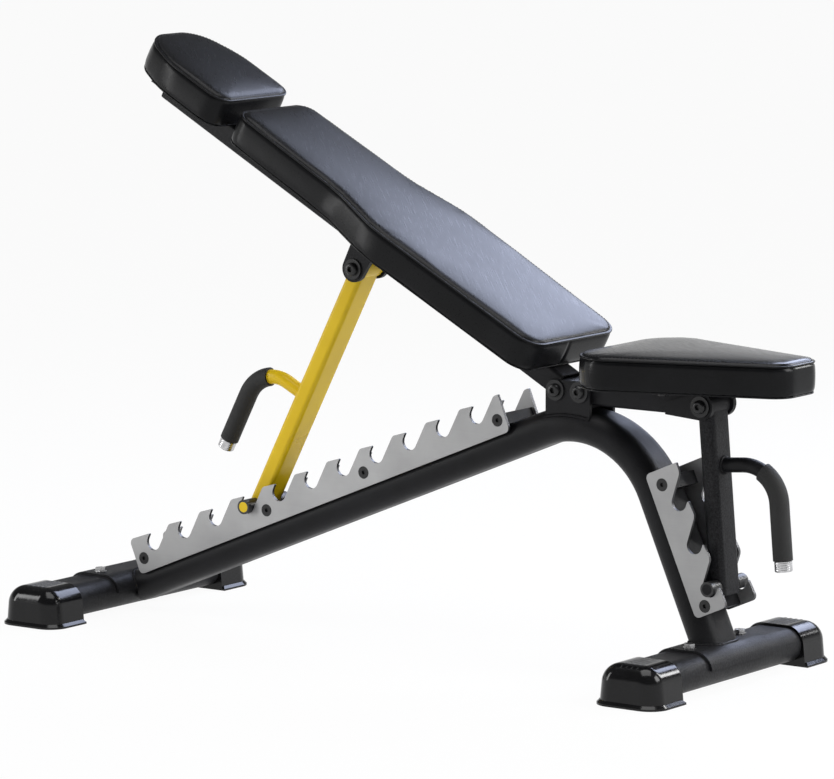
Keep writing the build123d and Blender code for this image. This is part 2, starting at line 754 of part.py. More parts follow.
# Struts
def strut_tube(plane, length, pivot, corner):
    """Strut from below its pin up to the pivot sleeve, drilled for the pin."""
    foot = plane.from_local_coords((0, -strut_foot, 0))
    up = Plane(origin=foot, x_dir=across, z_dir=plane.y_dir)
    tube = box_tube(up, strut_width, strut_depth, corner, strut_wall, strut_foot + length)
    tube = tube - rod(pivot, strut_sleeve_diameter, -strut_width, strut_width)
    return tube - rod(plane.origin, pin_core_diameter, -strut_width, strut_width)


def pin_sleeves(centre, reach):
    """Rollers on both ends of a strut's pin, from the strut out."""
    ring = rod(centre, pin_diameter, strut_width / 2, reach) - rod(centre, pin_core_diameter, strut_width / 2, reach)
    return Compound([ring, mirror(ring, about=Plane.XZ)])


def handle_points(plane, height, start_turn):
    """Start, middle and end of the bend and the tip of a handle's centre line, the bend from a turn on."""
    centre = Vector(handle_reach - handle_bend, height - handle_bend)
    turns = [start_turn, start_turn / 2, 0]
    bend = [centre + Vector(direction(turn).X, direction(turn).Z) * handle_bend for turn in turns]
    tip = Vector(handle_reach, height - handle_drop)
    return [plane.from_local_coords((point.X, point.Y, 0)) for point in bend + [tip]]


def swept_tube(path, outer, inner):
    """Round tube along a path."""
    start = Plane(origin=path @ 0, x_dir=across, z_dir=path % 0)
    return sweep(start * (Circle(outer / 2) - Circle(inner / 2)), path=path)


def handle(plane, height):
    """Bent handle from the face of a strut."""
    root = plane.from_local_coords((strut_depth / 2, height, 0))
    bend, middle, bend_end, tip = handle_points(plane, height, handle_turn)
    path = Wire([Line(root, bend), ThreePointArc(bend, middle, bend_end), Line(bend_end, tip)])
    return swept_tube(path, handle_diameter, handle_diameter - 2 * handle_wall)


def grip(plane, height):
    """Rubber sleeve over the lower part of a handle."""
    bend, middle, bend_end, tip = handle_points(plane, height, grip_bend_part)
    path = Wire([ThreePointArc(bend, middle, bend_end), Line(bend_end, tip)])
    return swept_tube(path, grip_diameter, handle_diameter)


def handle_cap(plane, height):
    """Turned end cap with a spigot in the end of a handle."""
    tip = handle_points(plane, height, handle_turn)[-1]
    down = Plane(origin=tip, x_dir=across, z_dir=-plane.y_dir)
    up = Plane(origin=tip, x_dir=across, z_dir=plane.y_dir)
    body = prism(down, Circle(handle_cap_diameter / 2), handle_cap_length)
    body = chamfer(body.edges().filter_by(GeomType.CIRCLE), length=handle_cap_edge)
    return body + prism(up, Circle(handle_diameter / 2 - handle_wall), handle_cap_spigot)


def strut(name, plane, length, pivot, corner, pin_reach, handle_height):
    """Every piece that swings with one strut, and the bolt and nut that carry it."""
    parts[f"{name}_strut_tube"] = strut_tube(plane, length, pivot, corner)
    parts[f"{name}_strut_sleeve"] = pivot_sleeve(pivot, strut_sleeve_diameter, frame_width)
    parts[f"{name}_strut_bushes"] = pivot_bushes(pivot, frame_width)
    parts[f"{name}_strut_pin"] = rod(plane.origin, pin_core_diameter, -pin_reach, pin_reach)
    parts[f"{name}_pin_sleeves"] = pin_sleeves(plane.origin, pin_reach)
    parts[f"{name}_handle"] = handle(plane, handle_height)
    parts[f"{name}_grip"] = grip(plane, handle_height)
    parts[f"{name}_handle_cap"] = handle_cap(plane, handle_height)
    parts[f"{name}_strut_bolt"] = pivot_bolt(pivot, ear_grip)
    parts[f"{name}_strut_nut"] = pivot_nut(pivot, ear_grip)


strut("back", back_strut_plane, back_strut_length, back_pivot, back_strut_corner, back_pin_reach, back_handle_height)
strut("seat", seat_strut_plane, seat_strut_length, seat_pivot, seat_strut_corner, seat_pin_reach, seat_handle_height)
for name, hinge in (("back", back_hinge), ("seat", seat_hinge)):
    parts[f"{name}_hinge_sleeve"] = pivot_sleeve(hinge, hinge_sleeve_diameter, hinge_plate_gap)
    parts[f"{name}_hinge_bushes"] = pivot_bushes(hinge, hinge_plate_gap)


# Origin under the middle of the whole bench, then one file for each piece
whole = Compound(list(parts.values())).bounding_box()
to_origin = Pos(-(whole.min.X + whole.max.X) / 2, -(whole.min.Y + whole.max.Y) / 2, -whole.min.Z)
os.makedirs("parts", exist_ok=True)
for name, shape in parts.items():
    export_step(to_origin * shape, f"parts/{name}.step")

shift = to_origin.position
print(f"bench {whole.size.X:.1f} long, {whole.size.Y:.1f} wide, {whole.size.Z:.1f} high, {len(parts)} nodes")
axes = {"back hinge": back_hinge, "seat hinge": seat_hinge, "back strut pivot": back_pivot}
axes.update({"seat strut pivot": seat_pivot, "back pin": back_pin, "seat pin": seat_pin, "seat foot": seat_foot})
for name, point in axes.items():
    print(f"{name} axis at X {point.X + shift.X:.3f}, Z {point.Z + shift.Z:.3f}")
print(f"slope starts at X {slope_start.X + shift.X:.3f}, Z {slope_start.Z + shift.Z:.3f}")
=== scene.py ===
# %% [markdown]
# # An adjustable weight bench
# The bench is a welded steel frame with two hinged pads, and struts whose pins drop into notched plates.
# All its metal is already modelled as solids, so this lesson dresses that frame: it gives each solid a
# finish, sews and fills the three pads, and runs the small welds that hold the real one together.

# %% Load the frame
import json
import math
import bmesh
import bpy
from mathutils import Matrix, Vector
from mathutils.bvhtree import BVHTree


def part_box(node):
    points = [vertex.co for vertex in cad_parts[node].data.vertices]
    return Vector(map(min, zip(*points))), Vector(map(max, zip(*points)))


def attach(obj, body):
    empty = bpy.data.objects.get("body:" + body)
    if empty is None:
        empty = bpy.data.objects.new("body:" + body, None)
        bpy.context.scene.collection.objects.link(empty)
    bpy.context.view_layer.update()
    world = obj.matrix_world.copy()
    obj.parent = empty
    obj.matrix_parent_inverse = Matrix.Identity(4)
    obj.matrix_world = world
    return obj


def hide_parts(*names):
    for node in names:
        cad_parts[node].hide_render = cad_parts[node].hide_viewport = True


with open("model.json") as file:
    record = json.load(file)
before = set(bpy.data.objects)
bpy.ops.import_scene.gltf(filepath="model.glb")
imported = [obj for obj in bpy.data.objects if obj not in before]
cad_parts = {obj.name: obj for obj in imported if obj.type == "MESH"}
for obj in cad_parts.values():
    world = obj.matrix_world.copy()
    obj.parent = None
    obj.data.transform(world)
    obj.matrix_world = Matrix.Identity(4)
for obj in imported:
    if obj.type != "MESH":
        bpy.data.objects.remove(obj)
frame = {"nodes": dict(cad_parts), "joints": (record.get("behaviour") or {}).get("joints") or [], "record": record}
nodes = frame["nodes"]
joints = {joint["name"]: joint for joint in frame["joints"]}
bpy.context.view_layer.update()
MM = 0.001

# %% [markdown]
# ## Camera
# The picture is taken from well back with a long lens, so the tubes hardly converge. A camera is easiest to
# place as a photographer would say it: aim at a point, walk round it, rise a little and step away.

# %% Camera
AIM = Vector((-0.0308, 0, 0.3849))
ROUND, RISE, AWAY = math.radians(35.45), math.radians(8.0), 7.7395
toward_camera = Vector((math.sin(ROUND) * math.cos(RISE), -math.cos(ROUND) * math.cos(RISE), math.sin(RISE)))
camera = bpy.data.objects.new("camera", bpy.data.cameras.new("camera"))
camera.data.sensor_width = 36
camera.data.lens = 222.64
camera.data.clip_end = 100
camera.location = AIM + toward_camera * AWAY
camera.rotation_euler = (-toward_camera).to_track_quat("-Z", "Y").to_euler()
bpy.context.scene.collection.objects.link(camera)
bpy.context.scene.camera = camera
bpy.context.scene.view_settings.view_transform = "Standard"
print("camera: lens", camera.data.lens, "mm at", [round(v, 2) for v in camera.location])

# %% [markdown]
# ## Node helpers
# Every finish here is a small graph of shader nodes. A few helpers keep the graphs readable: one adds a
# node with its settings, one starts a material round a Principled BSDF, one opens a node group whose
# sockets are made with interface.new_socket, and the others join what is used again and again.


# %% Node helpers
def add(tree, kind, values=None, **settings):
    """Add a node, set its properties, then its inputs: a plain value is written, a socket is linked."""
    node = tree.nodes.new(kind)
    for name, value in settings.items():
        setattr(node, name, value)
    for name, value in (values or {}).items():
        if isinstance(value, bpy.types.NodeSocket):
            tree.links.new(value, node.inputs[name])
        else:
            node.inputs[name].default_value = value
    return node


def maths(tree, operation, *values):
    """Result of a Math node; each value is a number or a socket."""
    return add(tree, "ShaderNodeMath", dict(enumerate(values)), operation=operation).outputs[0]


def start_material(name, **sockets):
    """A material with one Principled BSDF, whose constant sockets are set directly."""
    material = bpy.data.materials.new(name)
    material.use_nodes = True
    tree = material.node_tree
    shader = tree.nodes["Principled BSDF"]
    for socket, value in sockets.items():
        shader.inputs[socket.replace("_", " ")].default_value = value
    return material, tree, shader


def start_group(name, inputs, outputs):
    """A shader node group; inputs are (name, default) and outputs are names of values."""
    group = bpy.data.node_groups.new(name, "ShaderNodeTree")
    for label, value in inputs:
        socket = group.interface.new_socket(label, in_out="INPUT", socket_type="NodeSocketFloat")
        socket.default_value = value
    for label in outputs:
        group.interface.new_socket(label, in_out="OUTPUT", socket_type="NodeSocketFloat")
    return group, group.nodes.new("NodeGroupInput"), group.nodes.new("NodeGroupOutput")


def use_group(tree, group, values):
    """Place a group in a material with its own values."""
    node = tree.nodes.new("ShaderNodeGroup")
    node.node_tree = group
    for name, value in values.items():
        node.inputs[name].default_value = value
    return node


# Sockets of a Mix node that mixes colours
MIX_FACTOR, MIX_FIRST, MIX_SECOND, MIX_RESULT = 0, 6, 7, 2


def blend_colours(tree, factor, dark, light):
    """Mix two colours by a socket that varies over the surface."""
    mix = add(tree, "ShaderNodeMix", data_type="RGBA")
    mix.inputs[MIX_FIRST].default_value = (*dark, 1)
    mix.inputs[MIX_SECOND].default_value = (*light, 1)
    tree.links.new(factor, mix.inputs[MIX_FACTOR])
    return mix.outputs[MIX_RESULT]


def spread(tree, value, low, high):
    """Map a 0 to 1 value to a range."""
    return add(tree, "ShaderNodeMapRange", {"Value": value, "To Min": low, "To Max": high}).outputs["Result"]


def bump(tree, shader, height, strength, distance):
    """Feed a height into the shader's normal."""
    node = add(tree, "ShaderNodeBump", {"Height": height, "Strength": strength, "Distance": distance})
    tree.links.new(node.outputs["Normal"], shader.inputs["Normal"])


helpers = (add, maths, start_material, start_group, use_group, blend_colours, spread, bump)
print("node helpers:", [helper.__name__ for helper in helpers])

# %% [markdown]
# ## Shared surface effects
# Paint, plastic and rubber all need a fine pebble and a slow mottle, and steel needs streaks. Each is a
# group that reads Object coordinates, so the pattern stays put when a part swings on its hinge. The groups
# hand out only values; each finish decides what they mean.

# %% Pebble group
NOISE_LOW, NOISE_HIGH = 0.3, 0.7


def texture_scale(tree, size):
    """Scale of a texture whose grain has a given size in millimetres."""
    return maths(tree, "DIVIDE", 1 / MM, size)


def stretched(tree, noise):
    """Noise stays near its middle, so the range that it uses is spread over 0 to 1."""
    limits = {"From Min": NOISE_LOW, "From Max": NOISE_HIGH}
    return add(tree, "ShaderNodeMapRange", {"Value": noise.outputs["Fac"], **limits}).outputs["Result"]


def make_pebble():
    """Fine pebble and slow mottle, with the pebble's size in millimetres."""
    group, given, out = start_group("pebble", [("Size", 1.5), ("Mottle", 60.0)], ["Height", "Mottle"])
    place = add(group, "ShaderNodeTexCoord").outputs["Object"]
    for size, detail, label in (("Size", 2.0, "Height"), ("Mottle", 4.0, "Mottle")):
        scale = texture_scale(group, given.outputs[size])
        noise = add(group, "ShaderNodeTexNoise", {"Vector": place, "Scale": scale, "Detail": detail})
        group.links.new(stretched(group, noise), out.inputs[label])
    return group


pebble = make_pebble()
print("group:", pebble.name, [socket.name for socket in pebble.interface.items_tree])

# %% [markdown]
# ## Painted steel
# The frame has a charcoal powder coat with an orange-peel pebble, coarser on the feet, and the back strut
# the same coat in a warm yellow. One function makes them all: the mottle shifts colour and gloss a little,
# the pebble drives the bump.

# %% Painted steel
PAINT_MOTTLE, PEBBLE_DEPTH = 70.0, 0.4 * MM


def paint(name, dark, light, gloss, pebble_size, relief, shade="Mottle", **sockets):
    """Powder coat: roughness drifts slowly over a fine pebble, and colour follows either of them."""
    material, tree, shader = start_material(name, **sockets)
    surface = use_group(tree, pebble, {"Size": pebble_size, "Mottle": PAINT_MOTTLE})
    tree.links.new(blend_colours(tree, surface.outputs[shade], dark, light), shader.inputs["Base Color"])
    tree.links.new(spread(tree, surface.outputs["Mottle"], *gloss), shader.inputs["Roughness"])
    bump(tree, shader, surface.outputs["Height"], relief, PEBBLE_DEPTH)
    return material


charcoal = paint(
    "charcoal_powder_coat", (0.006, 0.006, 0.0068), (0.012, 0.012, 0.0135), (0.38, 0.52), 1.8, 0.4, IOR=1.24
)
coarse = paint(
    "coarse_powder_coat", (0.004, 0.004, 0.0045), (0.021, 0.021, 0.023), (0.4, 0.54), 2.2, 0.5, "Height",
    IOR=1.23,
)
yellow = paint(
    "yellow_powder_coat", (0.71, 0.472, 0.004), (0.775, 0.535, 0.008), (0.26, 0.38), 2.4, 0.15, IOR=1.36
)
dark_bolt = paint(
    "black_zinc", (0.006, 0.006, 0.0065), (0.014, 0.014, 0.015), (0.24, 0.36), 3.0, 0.1, IOR=1.42
)
pin_coat = paint("pin_coat", (0.010, 0.010, 0.011), (0.02, 0.02, 0.02), (0.3, 0.45), 2.0, 0.15)
print("paints:", charcoal.name, coarse.name, yellow.name, dark_bolt.name, pin_coat.name)

# %% [markdown]
# ## Moulded plastic and rubber
# The foot caps are glossy black mouldings, the grips are matt foam rubber. They reuse the same pebble with
# other sizes, which keeps one idea doing several jobs.

# %% Plastic and rubber
cap_gloss = paint(
    "cap_plastic", (0.003, 0.003, 0.0033), (0.006, 0.006, 0.0066), (0.1, 0.2), 6.0, 0.08, IOR=1.34
)
nylon = paint("bush_nylon", (0.012, 0.012, 0.012), (0.02, 0.02, 0.02), (0.5, 0.6), 2.0, 0.1)
rubber = paint("grip_rubber", (0.008, 0.008, 0.008), (0.014, 0.014, 0.014), (0.68, 0.82), 0.9, 0.6)
board_cloth = paint("board_dust_cloth", (0.008, 0.008, 0.009), (0.016, 0.016, 0.017), (0.8, 0.9), 1.2, 0.5)
print("mouldings:", cap_gloss.name, nylon.name, rubber.name, board_cloth.name)

# %% [markdown]
# ## Bare steel
# The notched plates are laser-cut: their faces are pale and faintly streaked, while the cut edges are
# darker. Every face of a plate looks along Y, so a face's own normal tells the two apart. The streaks are
# noise that is stretched along the tube.

# %% Bare steel
SLOPE = math.radians(22.3)
STREAK_STRETCH, STREAK_DEPTH = (0.03, 1, 1), 0.2 * MM
CUT_EDGE = (0.12, 0.12, 0.124, 1)


def make_streaks():
    """Long streaks along the sloping tube, the way the plate is rolled."""
    group, given, out = start_group("streaks", [("Width", 1.2)], ["Height"])
    place = add(group, "ShaderNodeTexCoord").outputs["Object"]
    drawn = add(group, "ShaderNodeMapping", {"Vector": place, "Rotation": (0, SLOPE, 0)})
    drawn.inputs["Scale"].default_value = STREAK_STRETCH
    fine = texture_scale(group, given.outputs["Width"])
    lines = add(group, "ShaderNodeTexNoise", {"Vector": drawn.outputs[0], "Scale": fine, "Detail": 3.0})
    group.links.new(lines.outputs["Fac"], out.inputs["Height"])
    return group


def plate_steel():
    """Pale rolled plate with dark cut edges."""
    material, tree, shader = start_material("plate_steel", Metallic=0.85)
    streaks = use_group(tree, make_streaks(), {"Width": 1.4}).outputs["Height"]
    soft = use_group(tree, pebble, {"Size": 4.0, "Mottle": 90.0}).outputs["Mottle"]
    normal = add(tree, "ShaderNodeSeparateXYZ", {0: add(tree, "ShaderNodeNewGeometry").outputs["Normal"]})
    facing = maths(tree, "ABSOLUTE", normal.outputs["Y"])
    face = blend_colours(tree, soft, (0.31, 0.31, 0.312), (0.39, 0.39, 0.392))
    mix = add(tree, "ShaderNodeMix", {MIX_FACTOR: facing, MIX_SECOND: face}, data_type="RGBA")
    mix.inputs[MIX_FIRST].default_value = CUT_EDGE
    tree.links.new(mix.outputs[MIX_RESULT], shader.inputs["Base Color"])
    tree.links.new(spread(tree, streaks, 0.38, 0.55), shader.inputs["Roughness"])
    bump(tree, shader, streaks, 0.08, STREAK_DEPTH)
    return material


steel = plate_steel()
print("plate:", steel.name, "with", len(steel.node_tree.nodes), "nodes")

# %% [markdown]
# ## Plated steel
# The bolts of the feet are zinc-plated, and the end caps of the handles are bright, with rings turned round
# the axis of their handle. That axis runs along the strut, from the middle of its pin to its pivot, and the
# sine of the distance along it is the height of the rings.

# %% Plated steel
RING_PITCH, RING_DEPTH = 3.2, 0.3 * MM


def bright_plate(name, dark, light, gloss):
    """Plated steel with faint cloudy polishing marks."""
    material, tree, shader = start_material(name, Metallic=1.0)
    surface = use_group(tree, pebble, {"Size": 1.0, "Mottle": 6.0})
    tree.links.new(blend_colours(tree, surface.outputs["Mottle"], dark, light), shader.inputs["Base Color"])
    tree.links.new(spread(tree, surface.outputs["Mottle"], *gloss), shader.inputs["Roughness"])
    return material, tree, shader


def turned_plate(name, axis, pitch):
    """Bright plate with rings turned round an axis."""
    material, tree, shader = bright_plate(name, (0.42, 0.42, 0.43), (0.66, 0.66, 0.67), (0.2, 0.38))
    place = add(tree, "ShaderNodeTexCoord").outputs["Object"]
    level = add(tree, "ShaderNodeVectorMath", {0: place, 1: axis}, operation="DOT_PRODUCT").outputs["Value"]
    rings = maths(tree, "SINE", maths(tree, "MULTIPLY", level, 2 * math.pi / (pitch * MM)))
    bump(tree, shader, rings, 0.4, RING_DEPTH)
    return material


def middle(node):
    """Middle of a solid's box."""
    low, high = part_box(node)
    return (low + high) / 2


def strut_way(name):
    """Direction of a strut from its pin up to its pivot."""
    pivot = Vector(joints[f"{name}_strut_pivot"]["pos_m"])
    return (pivot - middle(f"{name}_strut_pin")).normalized()


zinc = bright_plate("bright_zinc", (0.26, 0.26, 0.265), (0.48, 0.48, 0.485), (0.2, 0.34))[0]
back_chrome = turned_plate("back_cap_chrome", strut_way("back"), RING_PITCH)
seat_chrome = turned_plate("seat_cap_chrome", strut_way("seat"), RING_PITCH)
print("plated:", zinc.name, back_chrome.name, seat_chrome.name)

# %% [markdown]
# ## Dressing the solids
# The record names a material slot for every solid, so finishes are handed out by slot, and a few solids get
# one of their own. A solid's mesh is never edited here; only its material changes.

# %% Dress the solids
FINISHES = {
    "frame_black": charcoal,
    "ladder_steel": steel,
    "screw_black": dark_bolt,
    "bolt_dark": dark_bolt,
    "chrome": zinc,
    "cap_plastic": cap_gloss,
    "bush_plastic": nylon,
    "grip_rubber": rubber,
    "pin_black": pin_coat,
    "strut_yellow": yellow,
    "pad_leather": charcoal,
    "board_wood": board_cloth,
}
OWN_FINISHES = {"back_handle_cap": back_chrome, "seat_handle_cap": seat_chrome, "seat_strut_tube": coarse}
for end in ("head", "seat"):
    OWN_FINISHES.update({f"{end}_foot_tube": coarse, f"{end}_foot_saddle": coarse})
subparts = frame["record"]["subparts"]
for part in subparts:
    mesh = nodes[part["node"]].data
    mesh.materials.clear()
    mesh.materials.append(OWN_FINISHES.get(part["node"], FINISHES[part["material_slot"]]))
print("dressed:", len(subparts), "solids,", len(OWN_FINISHES), "with a finish of their own")

# %% [markdown]
# ## Floor and room
# The bench stands on a white sweep. The floor and the world show white to the camera and in mirrors, while
# the light that they give stays plain, so the black frame keeps its depth. Light Path tells the rays apart.

# %% Floor and room
FLOOR_REACH, FLOOR_TONE, PAPER_GLOW = 40, 0.65, 0.95
# Height of a direction: white paper up to the first, the dim ceiling from the second
PAPER_TOP, CEILING_START, CEILING_TONE = 0.12, 0.3, 0.14


def make_object(name, bm):
    """Turn a bmesh into a linked object at the origin."""
    mesh = bpy.data.meshes.new(name)
    bm.to_mesh(mesh)
    bm.free()
    piece = bpy.data.objects.new(name, mesh)
    bpy.context.scene.collection.objects.link(piece)
    return piece


def seen_directly(tree):
    """One for rays from the camera, a mirror or glass, nothing for rays that gather light."""
    path = add(tree, "ShaderNodeLightPath")
    seen = maths(tree, "MAXIMUM", path.outputs["Is Camera Ray"], path.outputs["Is Glossy Ray"])
    return maths(tree, "MAXIMUM", seen, path.outputs["Is Transmission Ray"])


def white_floor():
    """Pale floor that shows nearly white and keeps a light shadow."""
    bm = bmesh.new()
    bmesh.ops.create_grid(bm, x_segments=1, y_segments=1, size=FLOOR_REACH)
    floor = make_object("floor", bm)
    tone = (FLOOR_TONE, FLOOR_TONE, FLOOR_TONE, 1)
    material, tree, shader = start_material("floor_paper", Base_Color=tone, Roughness=0.9)
    glow = add(tree, "ShaderNodeEmission", {"Strength": 1.0})
    factor = maths(tree, "MULTIPLY", seen_directly(tree), PAPER_GLOW)
    mix = add(tree, "ShaderNodeMixShader", {0: factor, 1: shader.outputs[0], 2: glow.outputs[0]})
    tree.links.new(mix.outputs[0], tree.nodes["Material Output"].inputs["Surface"])
    floor.data.materials.append(material)
    return floor


def studio_room():
    """White paper for the camera; for light and mirrors, white low down and a dim ceiling above."""
    world = bpy.data.worlds.new("studio")
    bpy.context.scene.world = world
    world.use_nodes = True
    tree = world.node_tree
    way = add(tree, "ShaderNodeTexCoord").outputs["Generated"]
    rise = add(tree, "ShaderNodeSeparateXYZ", {0: way}).outputs["Z"]
    heights = {"From Min": PAPER_TOP, "From Max": CEILING_START}
    tones = {"To Min": 1.0, "To Max": CEILING_TONE}
    room = add(tree, "ShaderNodeMapRange", {"Value": rise, **heights, **tones}).outputs["Result"]
    seen = add(tree, "ShaderNodeLightPath").outputs["Is Camera Ray"]
    level = maths(tree, "MAXIMUM", room, seen)
    tree.links.new(level, tree.nodes["Background"].inputs["Strength"])
    tree.nodes["Background"].inputs["Color"].default_value = (1, 1, 1, 1)


studio_room()
print("floor:", white_floor().name, "under the world", bpy.context.scene.world.name)

# %% [markdown]
# ## Light
# A large cool lamp behind the bench rakes over the pads, one above fills the frame and one at the right
# lights the faces that look towards the seat end. Two strips draw bright lines: the left one bars on the
# caps, the one behind a rim along the rolled edges of the pads.


# %% Light
def lamp(name, place, aim, size, power, tall=None, colour=(1, 1, 1)):
    """A rectangular softbox aimed at a point."""
    light = bpy.data.lights.new(name, "AREA")
    light.energy = power
    light.color = colour
    light.shape = "RECTANGLE"
    light.size = size
    light.size_y = tall or size
    holder = bpy.data.objects.new(name, light)
    holder.location = place
    holder.rotation_euler = (Vector(aim) - Vector(place)).to_track_quat("-Z", "Y").to_euler()
    bpy.context.scene.collection.objects.link(holder)


lamp("rear_softbox", (0.21, 2.2, 2.0), (0.1, 0, 0.5), 1.8, 68, tall=1.4, colour=(0.7, 0.77, 1.0))
lamp("top_softbox", (0.3, -0.4, 3.0), (0, 0, 0.3), 2.4, 70)
lamp("left_strip", (-2.4, -1.8, 1.2), (-0.2, 0, 0.3), 0.5, 30, tall=2.0)
lamp("right_softbox", (2.6, 0.6, 1.6), (0.4, 0, 0.3), 1.2, 45)
lamp("rim_strip", (1.6, 2.1, 1.6), (0.2, 0, 0.4), 0.35, 26, tall=1.2)
print("lit by", [light.name for light in bpy.data.lights])

# %% [markdown]
# ## Leather
# The pads wear black upholstery leather. Up close it has a pebbled grain, a few lines drawn aslant and a
# soft satin shine. Voronoi cells give the pebble, stretched noise the drawn lines, and both only move the
# normal and the gloss, because black hide hardly changes colour.

# %% Leather
BACK_TILT = math.radians(29.0)
LINE_SLANT, LINE_STRETCH, LINE_SCALE = math.radians(-38), (20, 1, 1), 620.0
HIDE_PEBBLE, HIDE_DEPTH = 2.2, 0.4 * MM


def make_grain():
    """Pebbled hide and long lines drawn aslant, both on the piece's own coordinates."""
    group, given, out = start_group("hide_grain", [("Size", HIDE_PEBBLE), ("Turn", 0.0)], ["Pebble", "Lines"])
    place = add(group, "ShaderNodeTexCoord").outputs["Object"]
    fine = texture_scale(group, given.outputs["Size"])
    cells = add(group, "ShaderNodeTexVoronoi", {"Vector": place, "Scale": fine}, feature="SMOOTH_F1")
    tilt = {"Vector": place, "Angle": given.outputs["Turn"]}
    flat = add(group, "ShaderNodeVectorRotate", tilt, rotation_type="Y_AXIS").outputs[0]
    slant = {"Vector": flat, "Rotation": (0, 0, LINE_SLANT), "Scale": LINE_STRETCH}
    drawn = add(group, "ShaderNodeMapping", slant, vector_type="TEXTURE").outputs[0]
    noise = add(group, "ShaderNodeTexNoise", {"Vector": drawn, "Scale": LINE_SCALE, "Detail": 2.0})
    group.links.new(cells.outputs["Distance"], out.inputs["Pebble"])
    group.links.new(stretched(group, noise), out.inputs["Lines"])
    return group


hide_grain = make_grain()


def leather(name, turn, gloss):
    """Black hide whose drawn lines follow a pad that is turned about Y."""
    material, tree, shader = start_material(name, IOR=1.22)
    grain = use_group(tree, hide_grain, {"Size": HIDE_PEBBLE, "Turn": turn})
    surface = use_group(tree, pebble, {"Size": 3.0, "Mottle": 110.0})
    colour = blend_colours(tree, surface.outputs["Mottle"], (0.004, 0.0041, 0.0046), (0.008, 0.0082, 0.009))
    tree.links.new(colour, shader.inputs["Base Color"])
    tree.links.new(spread(tree, grain.outputs["Lines"], *gloss), shader.inputs["Roughness"])
    relief = maths(tree, "MULTIPLY_ADD", grain.outputs["Pebble"], 0.3, grain.outputs["Lines"])
    bump(tree, shader, relief, 0.055, HIDE_DEPTH)
    return material


back_hide = leather("back_leather", -BACK_TILT, (0.265, 0.335))
seat_hide = leather("seat_leather", 0.0, (0.19, 0.25))
thread = paint("seam_thread", (0.016, 0.016, 0.018), (0.03, 0.03, 0.033), (0.6, 0.75), 0.6, 0.3, IOR=1.2)
print("upholstery:", back_hide.name, seat_hide.name, thread.name)

# %% [markdown]
# ## Pad outlines
# Each pad is cut from a plywood board with rounded corners. The outline is a few corner points, listed
# along the pad from its hinge with half the width there and the radius of the corner. A vertex bevel rounds
# each corner, so the outline stays a handful of numbers, and the same outline later gives the path of the
# seams.

# %% Pad outlines
# Along from the hinge, half the width, radius of the corner
BACK_CORNERS = ((20, 117, 36), (345, 125, 150), (441, 97.5, 150), (666, 91, 30))
HEAD_CORNERS = ((690, 92, 30), (806, 92, 110), (884, 60, 58))
SEAT_CORNERS = ((33, 102, 60), (87, 139, 46), (362, 50, 36))
CORNER_STEPS, LEAST_CORNER, SAME_LEVEL = 12, 6, 0.01


def corner_reach(points, index, radius):
    """How far from a corner its round starts, for a given radius."""
    before, here, after = points[index - 1], points[index], points[(index + 1) % len(points)]
    turn = (before - here).angle(after - here)
    return radius / math.tan(turn / 2)


def outline_face(bm, corners, inset, height):
    """One face inside the rounded outline, drawn in by an inset, in the pad's own millimetres."""
    last = len(corners) - 1
    ends = {0: inset, last: -inset}
    side = [
        (x + ends.get(i, 0), w - inset, max(r - inset, LEAST_CORNER)) for i, (x, w, r) in enumerate(corners)
    ]
    loop = side + [(x, -w, r) for x, w, r in reversed(side)]
    points = [Vector((x, w, height)) for x, w, _ in loop]
    verts = [bm.verts.new(point) for point in points]
    bm.faces.new(verts)
    for index, (_, _, radius) in enumerate(loop):
        reach = corner_reach(points, index, radius)
        bmesh.ops.bevel(
            bm, geom=[verts[index]], offset=reach, offset_type="OFFSET", affect="VERTICES",
            segments=CORNER_STEPS, profile=0.5, material=-1,
        )
    level = [face for face in bm.faces if abs(face.calc_center_bounds().z - height) < SAME_LEVEL]
    return next(face for face in level if len(face.verts) > CORNER_STEPS)


def outline_points(corners, inset, height):
    """The same outline as a closed list of points."""
    bm = bmesh.new()
    points = [vert.co.copy() for vert in outline_face(bm, corners, inset, height).verts]
    bm.free()
    return points


def walk(points, pitch):
    """Places and directions at an even pitch along a closed outline."""
    edges = [(points[i - 1], points[i]) for i in range(len(points))]
    length = sum((b - a).length for a, b in edges)
    count = round(length / pitch)
    marks, passed = iter(length * (k + 0.5) / count for k in range(count)), 0.0
    mark = next(marks)
    for a, b in edges:
        run = (b - a).length
        while mark is not None and mark <= passed + run:
            yield a + (b - a) * ((mark - passed) / run), (b - a).normalized()
            mark = next(marks, None)
        passed += run


for name, corners in (("back", BACK_CORNERS), ("head", HEAD_CORNERS), ("seat", SEAT_CORNERS)):
    ring = outline_points(corners, 0, 0)
    length = sum((ring[i] - ring[i - 1]).length for i in range(len(ring)))
    print(name, "pad outline:", len(ring), "points,", round(length), "mm round")

# %% [markdown]
# ## Where the pads sit
# The back is hinged and leans at 29 degrees, the seat is level. A matrix for each carries a shape from the
# pad's own millimetres (along, across, up from the hinge) to its place on the bench, so a pad can be made
# flat on the bench-top.

# %% Where the pads sit
BACK_BASE, SEAT_BASE = 24.0, 19.0
along = Vector((-math.cos(BACK_TILT), 0, math.sin(BACK_TILT)))
square = Vector((math.sin(BACK_TILT), 0, math.cos(BACK_TILT)))
turned = Matrix((along, square.cross(along), square)).transposed().to_4x4()
to_metres = Matrix.Scale(MM, 4)
back_place = Matrix.Translation(joints["back_hinge"]["pos_m"]) @ turned @ to_metres
seat_place = Matrix.Translation(joints["seat_hinge"]["pos_m"]) @ to_metres
print("back pad leans", round(math.degrees(BACK_TILT)), "degrees")

# %% [markdown]
# ## Pad forms
# A pad is foam under a stretched cover: the top panel rolls over the edge to a seam, and a side strip runs
# from that seam down to the board. The form is a stack of outlines, each drawn in by its own inset, and
# bridged into a closed skin.

